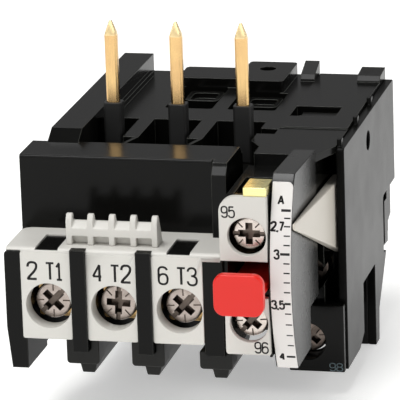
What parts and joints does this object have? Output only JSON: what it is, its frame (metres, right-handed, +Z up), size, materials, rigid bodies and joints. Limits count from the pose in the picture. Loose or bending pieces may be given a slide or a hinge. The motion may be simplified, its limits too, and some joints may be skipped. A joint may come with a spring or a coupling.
{
  "type": "thermal overload relay",
  "caption": "Plug-in thermal overload relay with screw terminals, plug blades, a reset button and a pointer on an arc scale.",
  "frame": {"origin": "centre of the base of the relay's bounding box", "axes": "+X to the relay's right seen from its front, +Y from the front to the back, +Z up towards the plug blades' points"},
  "size_m": [0.0524, 0.0818, 0.0634],
  "materials": {
    "black_plastic": "semi-gloss moulded",
    "charcoal_plastic": "satin moulded",
    "grey_plastic": "satin moulded",
    "pointer_plastic": "satin moulded",
    "white_label": "printed film",
    "red_plastic": "gloss moulded",
    "cream_plastic": "plain moulded",
    "brass": "drawn and polished",
    "winding": "wound ribbon on glass cloth",
    "nickel_steel": "nickel plated"
  },
  "bodies": {
    "housing": {"aux_block": "black_plastic", "aux_cover_lower": "grey_plastic", "aux_cover_upper": "grey_plastic", "aux_plate_lower": "brass", "aux_plate_upper": "brass", "aux_screw_lower": "nickel_steel", "aux_screw_upper": "nickel_steel", "base_housing": "black_plastic", "bimetal_1": "nickel_steel", "bimetal_2": "nickel_steel", "bimetal_3": "nickel_steel", "bottom_plate": "black_plastic", "contact_lug": "brass", "deck_frame": "black_plastic", "heater_winding_1": "winding", "heater_winding_2": "winding", "heater_winding_3": "winding", "label_comb": "grey_plastic", "main_terminal_cover": "grey_plastic", "pin_sleeve_1": "black_plastic", "pin_sleeve_2": "black_plastic", "pin_sleeve_3": "black_plastic", "plug_pin_1": "brass", "plug_pin_2": "brass", "plug_pin_3": "brass", "rear_plate_lower": "brass", "rear_plate_upper": "brass", "rear_screw_lower": "nickel_steel", "rear_screw_upper": "nickel_steel", "rear_terminal_block": "black_plastic", "reset_spring": "nickel_steel", "scale_label": "white_label", "scale_wall": "black_plastic", "side_cover": "black_plastic", "terminal_bar_1": "brass", "terminal_bar_2": "brass", "terminal_bar_3": "brass", "terminal_clamp_1": "brass", "terminal_clamp_2": "brass", "terminal_clamp_3": "brass", "terminal_frame": "black_plastic", "terminal_screw_1": "nickel_steel", "terminal_screw_2": "nickel_steel", "terminal_screw_3": "nickel_steel", "trip_lever_pin": "nickel_steel", "wire_guide_1": "charcoal_plastic", "wire_guide_2": "charcoal_plastic", "wire_guide_3": "charcoal_plastic"},
    "button": {"reset_button": "red_plastic"},
    "pointer": {"setting_pointer": "pointer_plastic"},
    "slide": {"trip_slide": "cream_plastic"},
    "lever": {"trip_lever": "cream_plastic"}
  },
  "joints": [
    {"name": "reset_push", "type": "slide", "parent": "housing", "child": "button", "axis": [0, 1, 0], "range_m": [0, 0.0025], "stiffness_N_per_m": 400, "springref_m": -0.002, "deforming": ["reset_spring"]},
    {"name": "setting_turn", "type": "hinge", "parent": "housing", "child": "pointer", "pos_m": [0.02405, -0.0006, 0.0282], "axis": [1, 0, 0], "range_deg": [-5, 39]},
    {"name": "trip_move", "type": "slide", "parent": "housing", "child": "slide", "axis": [1, 0, 0], "range_m": [0, 0.0015], "stiffness_N_per_m": 150, "springref_m": -0.001},
    {"name": "trip_turn", "type": "hinge", "parent": "housing", "child": "lever", "pos_m": [0.02015, 0.0216, 0.0215], "axis": [0, 1, 0], "range_deg": [0, 9]}
  ],
  "couplings": [
    {"joint": "trip_turn", "follows": "trip_move", "rad_per_m": 100}
  ]
}
